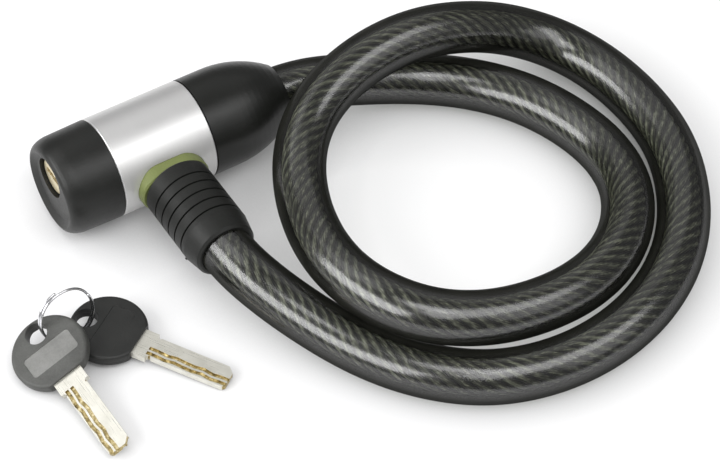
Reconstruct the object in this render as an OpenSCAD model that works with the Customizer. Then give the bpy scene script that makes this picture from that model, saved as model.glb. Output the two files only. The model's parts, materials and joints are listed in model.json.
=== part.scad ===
// Key-operated cable lock: a barrel lock with a thick steel cable laid in two loops, and its two keys.
// Millimetres. The barrel lies along X with its keyhole at -X, the bolt enters it along +Y,
// and z = 0 is the surface that everything rests on.

/* [Barrel] */
// Outside diameter of the metal sleeve
body_d = 35; // [34:0.5:37]
// Length of the metal sleeve
sleeve_len = 35; // [33:0.5:38]
// Wall of the metal sleeve
sleeve_wall = 1.8; // [1.4:0.1:2.2]
// Length of the front cap, from the sleeve to its rim
cap_len = 19.5; // [19:0.1:20.5]
// Width of the front cap's rounded rim, across the barrel
cap_rim_w = 3.2; // [2.4:0.1:3.6]
// Length of that rounded rim, along the barrel
cap_rim_len = 6.5; // [5:0.5:8]
// Depth of the dish in the front cap
dish_depth = 1.4; // [0.8:0.1:2]
// Length of the tail cover
tail_len = 33; // [31:0.5:36]
// Length of the tail cover's straight part
tail_straight = 10.5; // [8:0.5:12]
// Radius of the tail cover's curve along its length
tail_curve_r = 38; // [36:0.5:46]

/* [Key cylinder] */
// Diameter of the plug's face, which shows in the cap
plug_face_d = 12.4; // [12:0.1:13]
// Diameter of the plug behind its face, where it turns in its shell
plug_d = 11.6; // [11.2:0.1:11.8]
// How far the plug is from the barrel's axis, sideways
plug_off_y = 2.3; // [1.5:0.1:3]
// How far the plug is above the barrel's axis
plug_off_z = 3.2; // [2.4:0.1:3.6]
// Wall of the brass shell round the plug
shell_wall = 2.2; // [2:0.1:2.6]
// Diameter of the hole in the cap round the plug
keyhole_d = 14.4; // [13.6:0.1:15]
// How deep the plug's face lies in that hole
face_depth = 1.3; // [0.6:0.1:1.8]
// Number of wafers in the plug
wafer_count = 6; // [4:1:6]
// Thickness of one wafer
wafer_t = 1; // [0.8:0.1:1.3]

/* [Bolt] */
// Diameter of the bolt
bolt_d = 12; // [11:0.1:12.4]
// How far the bolt reaches past the barrel's axis
bolt_reach = 9.5; // [8:0.5:11]
// Width of the groove that the latch drops into
groove_w = 4.6; // [4:0.1:5.2]
// Depth of that groove
groove_depth = 2.2; // [1.8:0.1:2.6]
// Width of the coloured collar round the socket, along the barrel
collar_w = 25.4; // [24.6:0.2:26]
// Height of that collar, between its straight sides
collar_h = 16.6; // [16:0.2:17.6]
// How far the collar stands out of the sleeve
collar_out = 2.8; // [2:0.1:3.2]

/* [Boot] */
// Diameter of the rubber boot
boot_d = 23.8; // [23.4:0.1:25]
// Length of the boot
boot_len = 33.4; // [31.4:0.2:35]
// Number of grooves round the boot
boot_grooves = 5; // [3:1:6]
// Spacing of those grooves
boot_groove_pitch = 4.3; // [3.6:0.1:4.6]
// Width of a groove
boot_groove_w = 0.7; // [0.4:0.1:1.2]
// Depth of a groove
boot_groove_depth = 0.8; // [0.4:0.1:1.2]

/* [Cable] */
// Diameter of the cable over its clear jacket
cable_d = 18; // [17:0.1:18]
// Diameter of the steel rope inside
rope_d = 12; // [11:0.1:12.6]

/* [Keys] */
// Diameter of a key's bow
bow_d = 26; // [25:0.5:27]
// Thickness of a bow
bow_t = 4.4; // [4:0.1:5]
// Diameter of the hole for the ring
bow_hole_d = 7.5; // [7:0.1:8]
// Width of the blade
blade_w = 8.2; // [7.8:0.1:8.4]
// Thickness of the blade
blade_t = 2.3; // [2:0.1:2.5]
// Length of the blade outside the bow
blade_len = 33; // [30:0.5:36]
// Width of the blade's shoulder
shoulder_w = 10.6; // [9.6:0.1:11]
// Diameter of the split ring, to the middle of its wire
ring_d = 19.2; // [19:0.1:19.6]
// Diameter of the ring's wire
wire_d = 0.9; // [0.8:0.1:1]

/* [Hidden] */
round_fn = 96;

// Clearances
slide_gap = 0.08;
seat_gap = 0.1;
seam_gap = 0.25;
part_gap = 0.3;
fit_gap = seat_gap / 2;
// Room behind the end of a bore, and how far a cut runs past a face
fit_in = 0.5;
over = 1;

// Barrel
cable_r = cable_d / 2;
rope_r = rope_d / 2;
axis_h = body_d / 2;
body_r = body_d / 2;
sleeve_r_in = body_r - sleeve_wall;
core_r = sleeve_r_in - seat_gap;
half_sleeve = sleeve_len / 2;
spigot_len = 13.5;
core_front = -half_sleeve - spigot_len;
core_rear = half_sleeve + tail_straight - fit_in;
cap_front = -half_sleeve - cap_len;
cap_taper = 0.25;
dish_rim_r = body_r - cap_taper - cap_rim_w;
dish_slope = 2.7;
dish_floor = cap_front + dish_depth;
tail_end = half_sleeve + tail_len;
tail_lip = 1.2;
tail_wall = 2;
tail_steps = 10;
tail_arc_x = half_sleeve + tail_straight;
tail_drop = body_r - cable_r - tail_lip;
tail_arc_end = sqrt(pow(tail_curve_r, 2) - pow(tail_curve_r - tail_drop, 2));
tail_arc_len = min(tail_arc_end, tail_end - tail_arc_x);
arc_step = 9;

// Key cylinder
plug_r = plug_d / 2;
plug_y = plug_off_y;
plug_z = axis_h + plug_off_z;
plug_bore_r = plug_r + slide_gap / 2;
shell_r = plug_bore_r + shell_wall;
shell_nose = 2;
shell_front = core_front - shell_nose;
plug_face = dish_floor + face_depth;
wafer_first = 3;
wafer_pitch = 3;
wafers_len = (wafer_count - 1) * wafer_pitch + wafer_t;
shell_end = 1;
shell_rear = shell_front + wafer_first + wafers_len + shell_end;
clip_t = 0.8;
clip_groove = 1;
clip_depth = 0.9;
clip_inner_d = plug_d - 2 * clip_depth;
clip_outer_d = plug_d + shell_wall + clip_depth;
plug_tail = 2.4;
plug_rear = shell_rear + plug_tail;
key_stop = 1;
key_depth = shell_rear - plug_face - key_stop;
// A hidden pin's ends lie this far below the surface round it
pin_recess = 0.2;
cylinder_pin_r = 0.8;
cylinder_pin_in = 4;
cylinder_pin_rise = 1;
cylinder_pin_x = core_front + cylinder_pin_in;
cylinder_pin_y = plug_y - plug_bore_r - shell_wall / 2;
cylinder_pin_out = abs(cylinder_pin_y) + cylinder_pin_r;
cylinder_pin_top = plug_z - cylinder_pin_rise;
cylinder_pin_bottom = axis_h - sqrt(pow(core_r, 2) - pow(cylinder_pin_out, 2)) + pin_recess;
wafer_h = 6.2;
wafer_gap = 0.1;
window_w = 8.8;
window_h = 3.1;
keyway_gap = 0.15;
ward_depth = 0.7;
ward_at = [-3, -1];
track_w = 1.3;
spring_d = 1;
spring_len = 3.4;
lug_w = 1;
lug_h = 1.5;
lug_root = 0.2;

// Latch: a pin on the plug's tail, off its axis, moves the plate up and down
cam_off = 1.5;
cam_d = 2.4;
cam_turn = 90;
latch_travel = 2 * cam_off * sin(cam_turn / 2);
cam_y = cam_off * cos(cam_turn / 2);
cam_z = cam_off * sin(cam_turn / 2);
latch_t = 2;
latch_room = 0.9;
latch_back = plug_rear + latch_room;
latch_front = 3.5;
cam_end = latch_back + latch_t + part_gap;
arm_h = 3;
arm_gap = 0.3;
arm_lift = 0.15;
arm_w = groove_w - 2 * arm_gap;
guide_gap = 0.2;
bolt_r = bolt_d / 2;
groove_y = plug_y;
arm_bottom = axis_h + bolt_r + arm_lift;
arm_top = arm_bottom + arm_h;
slot_gap = 0.15;
tab_wall = 1.2;
tab_left = plug_y - cam_off - tab_wall;
tab_right = plug_y + cam_off + cam_d / 2 + slot_gap + tab_wall;
tab_bottom = plug_z + cam_z - cam_d / 2 - slot_gap - tab_wall;

// Bolt, boot and collar
collar_r = collar_h / 2;
collar_shift = (collar_w - collar_h) / 2;
collar_edge = 0.5;
collar_face = -body_r - collar_out;
collar_seat = -10.5;
collar_bore_gap = 0.6;
socket_depth = bolt_reach + fit_in;
boot_front = collar_face - part_gap;
boot_mouth = boot_front - boot_len;
boot_wall = 2;
ferrule_front = boot_front - boot_wall;
ferrule_r = 8;
ferrule_len = 19;
ferrule_rear = ferrule_front - ferrule_len;
spigot_r = 4.5;
bolt_spigot = 7;
ferrule_web = 2.2;
rope_stop = ferrule_front - bolt_spigot - ferrule_web;
cross_pin_r = 1.1;
cross_pin_len = 2 * (ferrule_r - pin_recess);
cross_pin_y = ferrule_front - bolt_spigot / 2;
boot_band = 6.8;
boot_taper = 1.2;
boot_edge = 0.8;
nub_angle = 205;
nub_in = 8;
nub_r = 0.45;
nub_out = 0.4;
bolt_chamfer = 1.6;

// Cable
tail_ferrule_r = 7.5;
tail_ferrule_in = 4.5;
tail_ferrule_set = 17.5;
tail_ferrule_front = half_sleeve - tail_ferrule_in;
tail_ferrule_rear = tail_end - tail_ferrule_set;
tail_ferrule_web = 5;
tail_rope_start = tail_ferrule_front + tail_ferrule_web;
tail_pocket_rear = tail_ferrule_rear + fit_in;
tail_pin_r = 1.25;
tail_pin_x = tail_ferrule_front + tail_ferrule_web / 2;
tail_pin_reach = sqrt(pow(core_r, 2) - pow(tail_pin_r, 2)) - pin_recess;
jacket_in = 1;
jacket_start = tail_ferrule_rear + jacket_in;
cable_sides = 8;
rope_gap = 0.2;
jacket_bore_gap = 0.1;

// The cable's route from the tail round its two loops, and the lead from there to the bolt.
// The barrel's height is used at both ends, and the loops lie on the table and on each other.
route_out = [[jacket_start, 0, axis_h], [tail_end + over, 0, axis_h]];
route_loops = [
    [62, -2, 17], [72, -4.5, 15.5], [85, -7.5, 12], [99, -13, 9.5], [114, -24.5, 9],
    [126, -40, 9], [133, -58, 9], [135.5, -76, 9.2], [131, -95, 11], [118, -112.5, 14],
    [102, -123, 16], [85, -127.5, 18], [68, -127.5, 20], [53, -124.5, 22.5], [40, -117.5, 24.5],
    [31, -106.5, 25.5], [25.5, -92, 25], [25, -74, 23.5], [29.5, -54.5, 22.5], [37.5, -37.5, 24],
    [49, -25, 27], [63.5, -18, 30.5], [80, -14.5, 32.5], [96, -13.5, 32], [110, -14, 29],
    [124, -15.5, 24], [136, -18, 18], [146, -23.5, 13], [153, -32, 10], [157.5, -45, 9], [159, -63, 9],
    [157, -82, 9], [150, -100, 9], [139, -117, 9], [124.5, -130.5, 9], [108, -139.5, 9],
    [92, -144, 9], [76, -145, 9], [61, -142.5, 9], [47.5, -137, 9]];
route_lead = [[36, -128, 9], [26.5, -117, 9], [18.5, -104, 9.5], [11.5, -91, 12], [5.5, -78, 15]];
route_end = [[1.2, -65, axis_h], [0, boot_mouth, axis_h], [0, ferrule_rear - part_gap, axis_h]];
rope_out = [[tail_rope_start + rope_gap, 0, axis_h]];
rope_end = [[0, rope_stop - rope_gap, axis_h]];
cable_route = concat(rope_out, route_out, route_loops, route_lead, route_end, rope_end);
// Places in that list: the jacket's start, where the lead leaves the loops, and the ends of rope and jacket
jacket_from = 1;
lead_from = len(concat(rope_out, route_out, route_loops)) - 1;
rope_to = len(cable_route) - 1;
jacket_to = rope_to - 1;

// Keys, measured from the middle of the ring's hole, which is where a key turns on the ring
bow_mid = 8;
bow_root = 19;
bow_edge = 1.2;
tang_len = 7;
tang_w = 6;
tip_corner = 1;
shoulder_len = 5;
notch_w = 0.9;
track_start = 4.5;
track_depth = 0.7;
track_steps = 9;
track_wander = 0.28;
track_phase = 137;
key_a_at = [-65.8, -45.8, 6.9];
key_a_turn = [21, 3.1, -87.6];
key_b_at = [-48.7, -46.5, 4.3];
key_b_turn = [0.9, 3.3, -56.4];
ring_at = [-54.9, -45.2, 10.1];
ring_turn = [75, 0, 2.3];
ring_start = 100;
ring_turns = 1.8;
ring_jog = 0.2;
ring_steps = 24;
ring_sides = 6;
ring_gap = 0.45;

// ---- Shapes along the axes ----

module bar_x(x0, x1, r, y = 0, z = axis_h) {
    translate([x0, y, z])
        rotate([0, 90, 0])
            cylinder(h = x1 - x0, r = r, $fn = round_fn);
}

module bar_y(y0, y1, r, x = 0, z = axis_h) {
    translate([x, y1, z])
        rotate([90, 0, 0])
            cylinder(h = y1 - y0, r = r, $fn = round_fn);
}

module bar_z(z0, z1, r, x, y) {
    translate([x, y, z0])
        cylinder(h = z1 - z0, r = r, $fn = round_fn);
}

module box(from, to) {
    translate(from)
        cube(to - from);
}

// A long hole or block along Y, as wide as the collar: round ends and straight sides
module oblong_y(y0, y1, r) {
    bar_y(y0, y1, r, -collar_shift);
    bar_y(y0, y1, r, collar_shift);
    box([-collar_shift, y0, axis_h - r], [collar_shift, y1, axis_h + r]);
}

// Turns an outline of [radius, x] points round the barrel's axis
module turned_x(outline) {
    translate([0, 0, axis_h])
        rotate([0, 90, 0])
            rotate_extrude($fn = round_fn)
                polygon(outline);
}

// Turns an outline of [radius, distance from y0 towards -Y] points round the bolt's axis
module turned_y(y0, outline) {
    translate([0, y0, axis_h])
        rotate([90, 0, 0])
            rotate_extrude($fn = round_fn)
                polygon(outline);
}

// ---- Sweeping a tube along a route ----

function unit(v) = v / norm(v);
function direction(route, i) =
    let (last = len(route) - 1)
    unit(route[min(i + 1, last)] - route[max(i - 1, 0)]);
function side_of(t) = unit(cross(t, [0, 0, 1]));
function ring_points(route, from, to, r, sides) = [
    for (i = [from:to])
        let (t = direction(route, i), s = side_of(t), u = cross(s, t))
        for (k = [0:sides - 1])
            let (a = 360 * k / sides)
            route[i] + r * (cos(a) * s + sin(a) * u)];

// The walls between neighbouring rings, as triangles, from point number first on
function walls(rings, sides, first, inward) = [
    for (i = [0:rings - 2])
        for (k = [0:sides - 1])
            let (n = (k + 1) % sides, a = first + i * sides + k, b = first + i * sides + n)
            for (f = [[a, a + sides, b], [b, a + sides, b + sides]])
                inward ? [f[0], f[2], f[1]] : f];

function fan(first, sides, flip) = [
    for (k = [1:sides - 2])
        flip ? [first, first + k, first + k + 1] : [first, first + k + 1, first + k]];

function washer(outer, inner, sides, flip) = [
    for (k = [0:sides - 1])
        let (n = (k + 1) % sides)
        for (f = [[outer + k, outer + n, inner + k], [outer + n, inner + n, inner + k]])
            flip ? [f[0], f[2], f[1]] : f];

module rod(route, from, to, r, sides) {
    rings = to - from + 1;
    polyhedron(
        points = ring_points(route, from, to, r, sides),
        faces = concat(
            walls(rings, sides, 0, false),
            fan(0, sides, true),
            fan((rings - 1) * sides, sides, false)));
}

module pipe(route, from, to, r_out, r_in, sides) {
    rings = to - from + 1;
    inner = rings * sides;
    end = (rings - 1) * sides;
    polyhedron(
        points = concat(
            ring_points(route, from, to, r_out, sides),
            ring_points(route, from, to, r_in, sides)),
        faces = concat(
            walls(rings, sides, 0, false),
            walls(rings, sides, inner, true),
            washer(0, inner, sides, false),
            washer(end, inner + end, sides, true)));
}

// Least gap of a cable to itself, between points that are more than apart_min along it
function step_to(route, i) = i == 0 ? 0 : norm(route[i] - route[i - 1]);
function along(route, i = 0, s = 0) =
    i == len(route) ? [] :
    let (here = s + step_to(route, i))
    concat([here], along(route, i + 1, here));
function fine(route, n) = [
    for (i = [0:len(route) - 2])
        for (k = [0:n - 1])
            route[i] + (route[i + 1] - route[i]) * k / n];
function least_gap(route, d, apart_min) =
    let (s = along(route))
    min([
        for (i = [0:len(route) - 1])
            for (j = [i + 1:1:len(route) - 1])
                if (s[j] - s[i] > apart_min)
                    norm(route[i] - route[j])]) - d;

// ---- Barrel ----

function cap_outside() = concat(
    [[body_r, -half_sleeve - seam_gap]],
    [for (a = [0:arc_step:90])
        [dish_rim_r + cap_rim_w * cos(a), cap_front + cap_rim_len * (1 - sin(a))]],
    [[dish_rim_r - dish_slope, dish_floor], [0, dish_floor]]);

module front_cap() {
    color("dimgray")
        difference() {
            turned_x(concat(cap_outside(), [[0, -half_sleeve - seam_gap]]));
            bar_x(core_front - seat_gap, -half_sleeve, core_r + seat_gap);
            bar_x(shell_front - seat_gap, core_front, shell_r + seat_gap, plug_y, plug_z);
            bar_x(cap_front - over, core_front, keyhole_d / 2, plug_y, plug_z);
        }
}

module housing_sleeve() {
    chamfer = 0.35;
    color("silver")
        difference() {
            turned_x([
                [sleeve_r_in, -half_sleeve], [body_r - chamfer, -half_sleeve],
                [body_r, chamfer - half_sleeve], [body_r, half_sleeve - chamfer],
                [body_r - chamfer, half_sleeve], [sleeve_r_in, half_sleeve]]);
            oblong_y(-body_d, 0, collar_r + seat_gap);
        }
}

function tail_radius(d) = body_r - tail_curve_r + sqrt(pow(tail_curve_r, 2) - d * d);

module tail_cover() {
    hole_r = cable_r + seat_gap;
    color("dimgray")
        difference() {
            turned_x(concat(
                [[0, half_sleeve + seam_gap], [body_r, half_sleeve + seam_gap]],
                [for (i = [0:tail_steps])
                    let (d = tail_arc_len * i / tail_steps)
                    [tail_radius(d), tail_arc_x + d]],
                [[hole_r + tail_lip / 2, tail_end], [0, tail_end]]));
            bar_x(half_sleeve, core_rear + seat_gap, core_r + seat_gap);
            bar_x(core_rear, tail_pocket_rear, tail_ferrule_r + tail_wall);
            bar_x(tail_pocket_rear - over, tail_end + over, hole_r);
        }
}

module lock_core() {
    pocket_side = arm_w / 2 + guide_gap;
    shell_hole_r = shell_r + fit_gap;
    color("lightsteelblue")
        difference() {
            bar_x(core_front, core_rear, core_r);
            bar_x(core_front - over, latch_back - part_gap, shell_hole_r, plug_y, plug_z);
            bar_y(-body_d, socket_depth, bolt_r + slide_gap);
            oblong_y(-body_d, collar_seat, collar_r + seat_gap);
            bar_x(tail_ferrule_front, core_rear + over, tail_ferrule_r + fit_gap);
            box(
                [latch_back - part_gap, groove_y - pocket_side, axis_h],
                [latch_front + part_gap, groove_y + pocket_side, arm_top + part_gap]);
            box(
                [plug_rear, tab_left - part_gap, tab_bottom - latch_travel - part_gap],
                [cam_end + part_gap, tab_right + part_gap, arm_top + part_gap]);
            bar_z(0, body_d, tail_pin_r + fit_gap, tail_pin_x, 0);
            bar_z(0, plug_z, cylinder_pin_r + fit_gap, cylinder_pin_x, cylinder_pin_y);
        }
}

module cylinder_shell() {
    color("goldenrod")
        difference() {
            bar_x(shell_front, shell_rear, shell_r, plug_y, plug_z);
            bar_x(shell_front - over, shell_rear + over, plug_bore_r, plug_y, plug_z);
            bar_z(0, plug_z, cylinder_pin_r + fit_gap, cylinder_pin_x, cylinder_pin_y);
        }
}

// A pin from below holds the shell in the core, beside the plug
module cylinder_pin() {
    color("slategray")
        bar_z(cylinder_pin_bottom, cylinder_pin_top, cylinder_pin_r, cylinder_pin_x, cylinder_pin_y);
}

module socket_collar() {
    depth = collar_seat - seat_gap - collar_face;
    side = [
        [0, 0], [collar_r, 0], [collar_r, depth - collar_edge],
        [collar_r - collar_edge, depth], [0, depth]];
    color("yellowgreen")
        difference() {
            union() {
                for (x = [-collar_shift, collar_shift])
                    translate([x, 0, 0])
                        turned_y(collar_seat - seat_gap, side);
                translate([0, collar_seat - seat_gap, axis_h])
                    rotate([180, -90, 0])
                        linear_extrude(2 * collar_shift, center = true)
                            polygon(concat(side, [for (i = [4:-1:0]) [-side[i][0], side[i][1]]]));
            }
            bar_y(collar_face - over, collar_seat + over, bolt_r + collar_bore_gap);
        }
}

module tail_ferrule() {
    color("gray")
        difference() {
            bar_x(tail_ferrule_front + seat_gap, tail_ferrule_rear, tail_ferrule_r);
            bar_x(tail_rope_start, tail_ferrule_rear + over, rope_r + fit_gap);
            bar_z(0, body_d, tail_pin_r + fit_gap, tail_pin_x, 0);
        }
}

// A pin right through holds the tail's ferrule in the core
module tail_pin() {
    color("slategray")
        bar_z(axis_h - tail_pin_reach, axis_h + tail_pin_reach, tail_pin_r, tail_pin_x, 0);
}

// ---- Key cylinder ----

// The keyway, across the blade's width and thickness, with wards that fit the key's tracks
module keyway_outline(width, height, ward) {
    side = track_w / 2 - ward / 2;
    difference() {
        square([width, height], center = true);
        for (at = ward_at)
            for (flip = [1, -1])
                translate([flip * at, flip * height / 2])
                    square([2 * side, 2 * (ward_depth - ward)], center = true);
    }
}

// Where a wafer stands along the plug
function wafer_x(i) = shell_front + wafer_first + i * wafer_pitch;

module wafer_slot(i) {
    translate([wafer_x(i) - wafer_gap, 0, 0]) {
        translate([0, plug_y - plug_d, plug_z - wafer_h / 2 - wafer_gap])
            cube([wafer_t + 2 * wafer_gap, 2 * plug_d, wafer_h + 2 * wafer_gap]);
        translate([0, plug_y - spring_len / 2 - wafer_gap, plug_z])
            cube([
                wafer_t + 2 * wafer_gap, spring_len + lug_w + 3 * wafer_gap,
                wafer_h / 2 + lug_h + wafer_gap]);
    }
}

module cylinder_plug() {
    color("gold")
        difference() {
            union() {
                bar_x(plug_face, shell_front - seat_gap, plug_face_d / 2, plug_y, plug_z);
                bar_x(plug_face, plug_rear, plug_r, plug_y, plug_z);
                bar_x(plug_rear - over, cam_end, cam_d / 2, plug_y + cam_y, plug_z + cam_z);
            }
            translate([plug_face - over, plug_y, plug_z])
                rotate([90, 0, 90])
                    linear_extrude(key_depth + over)
                        keyway_outline(blade_w + 2 * keyway_gap, blade_t + 2 * keyway_gap, keyway_gap);
            for (i = [0:wafer_count - 1])
                wafer_slot(i);
            clip_ring(shell_rear + seat_gap, clip_groove, clip_outer_d, clip_inner_d);
        }
}

module clip_ring(x, thick, outer_d, inner_d) {
    difference() {
        bar_x(x, x + thick, outer_d / 2, plug_y, plug_z);
        bar_x(x - over, x + thick + over, inner_d / 2, plug_y, plug_z);
    }
}

module track_wafers() {
    color("khaki")
        for (i = [0:wafer_count - 1])
            difference() {
                union() {
                    intersection() {
                        bar_x(wafer_x(i), wafer_x(i) + wafer_t, plug_r - wafer_gap, plug_y, plug_z);
                        translate([wafer_x(i), plug_y - plug_d, plug_z - wafer_h / 2])
                            cube([wafer_t, 2 * plug_d, wafer_h]);
                    }
                    translate([
                            wafer_x(i), plug_y + spring_len / 2 + wafer_gap,
                            plug_z + wafer_h / 2 - lug_root])
                        cube([wafer_t, lug_w, lug_h]);
                }
                translate([wafer_x(i) - over, plug_y - window_w / 2, plug_z - window_h / 2])
                    cube([wafer_t + 2 * over, window_w, window_h]);
            }
}

module wafer_springs() {
    spring_z = plug_z + wafer_h / 2 + wafer_gap + spring_d / 2;
    color("lightgray")
        for (i = [0:wafer_count - 1])
            bar_y(
                plug_y - spring_len / 2, plug_y + spring_len / 2,
                spring_d / 2, wafer_x(i) + wafer_t / 2, spring_z);
}

module plug_clip() {
    from = shell_rear + seat_gap + (clip_groove - clip_t) / 2;
    color("slategray")
        clip_ring(from, clip_t, clip_outer_d, clip_inner_d + 2 * seat_gap);
}

// ---- Latch ----

module latch_plate() {
    slot_w = cam_off - cam_y + cam_d + 2 * slot_gap;
    slot_h = cam_d + 2 * slot_gap;
    slot_y = plug_y + cam_y - cam_d / 2 - slot_gap;
    slot_z = plug_z + cam_z - slot_h / 2;
    color("steelblue")
        difference() {
            union() {
                box(
                    [latch_back, tab_left, tab_bottom],
                    [latch_back + latch_t, tab_right, arm_top]);
                box(
                    [latch_back, groove_y - arm_w / 2, arm_bottom],
                    [latch_front, groove_y + arm_w / 2, arm_top]);
            }
            box(
                [latch_back - over, slot_y, slot_z],
                [latch_back + latch_t + over, slot_y + slot_w, slot_z + slot_h]);
        }
}

// ---- Bolt and boot ----

module bolt() {
    nose = -bolt_reach;
    groove_from = -groove_y - groove_w / 2;
    groove_to = -groove_y + groove_w / 2;
    groove_r = bolt_r - groove_depth;
    color("lightgray")
        difference() {
            turned_y(0, [
                [0, nose], [bolt_r - bolt_chamfer, nose], [bolt_r, nose + bolt_chamfer],
                [bolt_r, groove_from], [groove_r, groove_from], [groove_r, groove_to], [bolt_r, groove_to],
                [bolt_r, -ferrule_front - seat_gap], [spigot_r, -ferrule_front - seat_gap],
                [spigot_r, -ferrule_front + bolt_spigot], [0, -ferrule_front + bolt_spigot]]);
            bar_x(-ferrule_r, ferrule_r, cross_pin_r + fit_gap, cross_pin_y);
        }
}

// A cross pin holds the bolt's spigot in its ferrule
module bolt_pin() {
    color("slategray")
        bar_x(-cross_pin_len / 2, cross_pin_len / 2, cross_pin_r, cross_pin_y);
}

module bolt_ferrule() {
    color("gray")
        difference() {
            bar_y(ferrule_rear, ferrule_front - seat_gap, ferrule_r);
            bar_y(ferrule_front - bolt_spigot - seat_gap, ferrule_front, spigot_r + fit_gap);
            bar_y(ferrule_rear - over, rope_stop, rope_r + fit_gap);
            bar_x(-ferrule_r - over, ferrule_r + over, cross_pin_r + fit_gap, cross_pin_y);
        }
}

// A small moulding nub on the boot's side, near its mouth
module boot_nub() {
    translate([0, boot_mouth + nub_in, axis_h])
        rotate([0, 90 - nub_angle, 0])
            cylinder(h = boot_d / 2 + nub_out, r = nub_r, $fn = round_fn);
}

// The boot's outside, as [radius, distance from its front] points, with its grooves
function boot_groove(i) =
    let (
        at = boot_band + i * boot_groove_pitch,
        half = boot_groove_w / 2,
        r = boot_d / 2,
        floor_r = r - boot_groove_depth)
    [[r, at - half], [floor_r, at - half], [floor_r, at + half], [r, at + half]];

module bolt_boot() {
    r = boot_d / 2;
    taper_from = boot_band + (boot_grooves - 0.5) * boot_groove_pitch;
    color("dimgray")
        difference() {
            union() {
                turned_y(boot_front, concat(
                    [[0, 0], [r - boot_edge, 0], [r, boot_edge]],
                    [for (i = [0:boot_grooves - 1]) for (p = boot_groove(i)) p],
                    [[r, taper_from], [r - boot_taper, boot_len - boot_edge],
                        [r - boot_taper - boot_edge, boot_len], [0, boot_len]]));
                boot_nub();
            }
            bar_y(ferrule_front - over, boot_front + over, bolt_r + seat_gap);
            bar_y(ferrule_rear - seat_gap, ferrule_front, ferrule_r + seat_gap);
            bar_y(boot_mouth - over, ferrule_rear, cable_r + seat_gap);
        }
}

// ---- Cable ----

module cable_jacket() {
    color("lightgray", 0.5)
        pipe(cable_route, jacket_from, lead_from, cable_r, rope_r + jacket_bore_gap, cable_sides);
}

module cable_rope() {
    color("gray")
        rod(cable_route, 0, lead_from, rope_r, cable_sides);
}

module lead_jacket() {
    color("lightgray", 0.5)
        pipe(cable_route, lead_from, jacket_to, cable_r, rope_r + jacket_bore_gap, cable_sides);
}

module lead_rope() {
    color("gray")
        rod(cable_route, lead_from, rope_to, rope_r, cable_sides);
}

// ---- Keys ----

module place_key(at, turn) {
    translate(at)
        rotate([0, 0, turn[2]])
            rotate([turn[0], turn[1], 0])
                children();
}

// A bow, lying flat round the middle of its thickness, with the ring's hole at the origin
module bow() {
    r = bow_d / 2;
    h = bow_t / 2;
    round_points = [
        for (side = [-1, 1])
            for (a = side < 0 ? [90:-15:0] : [0:15:90])
                [r - bow_edge + bow_edge * cos(a), side * (h - bow_edge + bow_edge * sin(a))]];
    color("dimgray")
        difference() {
            translate([bow_mid, 0, 0])
                rotate_extrude($fn = round_fn)
                    polygon(concat([[0, -h]], round_points, [[0, h]]));
            translate([bow_root, -bow_d, -bow_t])
                cube([bow_d, 2 * bow_d, 2 * bow_t]);
            cylinder(h = 2 * bow_t, d = bow_hole_d, center = true, $fn = round_fn);
            translate([bow_root - tang_len - seat_gap, -tang_w / 2 - seat_gap, -blade_t / 2 - seat_gap])
                cube([tang_len + over, tang_w + 2 * seat_gap, blade_t + 2 * seat_gap]);
        }
}

// One edge of a milled track, wandering from side to side along the blade
function track_edge(side) = [
    for (i = [0:track_steps])
        let (
            straight = i < 2 || i == track_steps,
            wander = straight ? 0 : track_wander * sin(i * track_phase),
            x = track_start + i * (blade_len - track_start + over) / track_steps)
        [x, side * track_w / 2 + wander]];

module track() {
    edge_a = track_edge(1);
    edge_b = track_edge(-1);
    linear_extrude(2 * track_depth, center = true)
        polygon(concat(edge_a, [for (i = [track_steps:-1:0]) edge_b[i]]));
}

module blade() {
    half = blade_w / 2;
    shoulder = shoulder_w / 2;
    color("silver")
        difference() {
            translate([bow_root, 0, 0])
                linear_extrude(blade_t, center = true)
                    polygon([
                        [-tang_len, -tang_w / 2], [0, -tang_w / 2], [0, -shoulder],
                        [shoulder_len, -shoulder], [shoulder_len, -half],
                        [blade_len - tip_corner, -half], [blade_len, tip_corner - half],
                        [blade_len, half - 2 * tip_corner], [blade_len - 2 * tip_corner, half],
                        [shoulder_len, half], [shoulder_len, shoulder], [0, shoulder],
                        [0, tang_w / 2], [-tang_len, tang_w / 2]]);
            for (side = [1, -1])
                translate([bow_root + shoulder_len + notch_w, side * half, 0])
                    cylinder(h = 2 * blade_t, r = notch_w / 2, center = true, $fn = round_fn);
            for (at = ward_at)
                for (flip = [1, -1])
                    translate([bow_root, flip * at, flip * blade_t / 2])
                        track();
        }
}

module key_a_bow() {
    place_key(key_a_at, key_a_turn)
        bow();
}

module key_a_blade() {
    place_key(key_a_at, key_a_turn)
        blade();
}

module key_b_bow() {
    place_key(key_b_at, key_b_turn)
        bow();
}

module key_b_blade() {
    place_key(key_b_at, key_b_turn)
        blade();
}

// The split ring: a flat turn, a jog up by one wire and a second flat turn that ends at the jog
function ring_climb(turn) = min(1, max(0, (turn - 1 + ring_jog) / ring_jog));
function ring_route() = [
    for (i = [0:ring_turns * ring_steps])
        let (
            turn = i / ring_steps,
            a = ring_start + 360 * turn,
            pitch = wire_d + ring_gap)
        [ring_d / 2 * cos(a), ring_d / 2 * sin(a), pitch * (ring_climb(turn) - 1 / 2)]];

module key_ring() {
    color("silver")
        translate(ring_at)
            rotate([0, 0, ring_turn[2]])
                rotate([ring_turn[0], ring_turn[1], 0])
                    rod(ring_route(), 0, len(ring_route()) - 1, wire_d / 2, ring_sides);
}

echo(cable_gap = least_gap(fine(cable_route, 4), cable_d, 3 * cable_d));
echo(ring_gap = least_gap(fine(ring_route(), 2), wire_d, ring_d));

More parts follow.
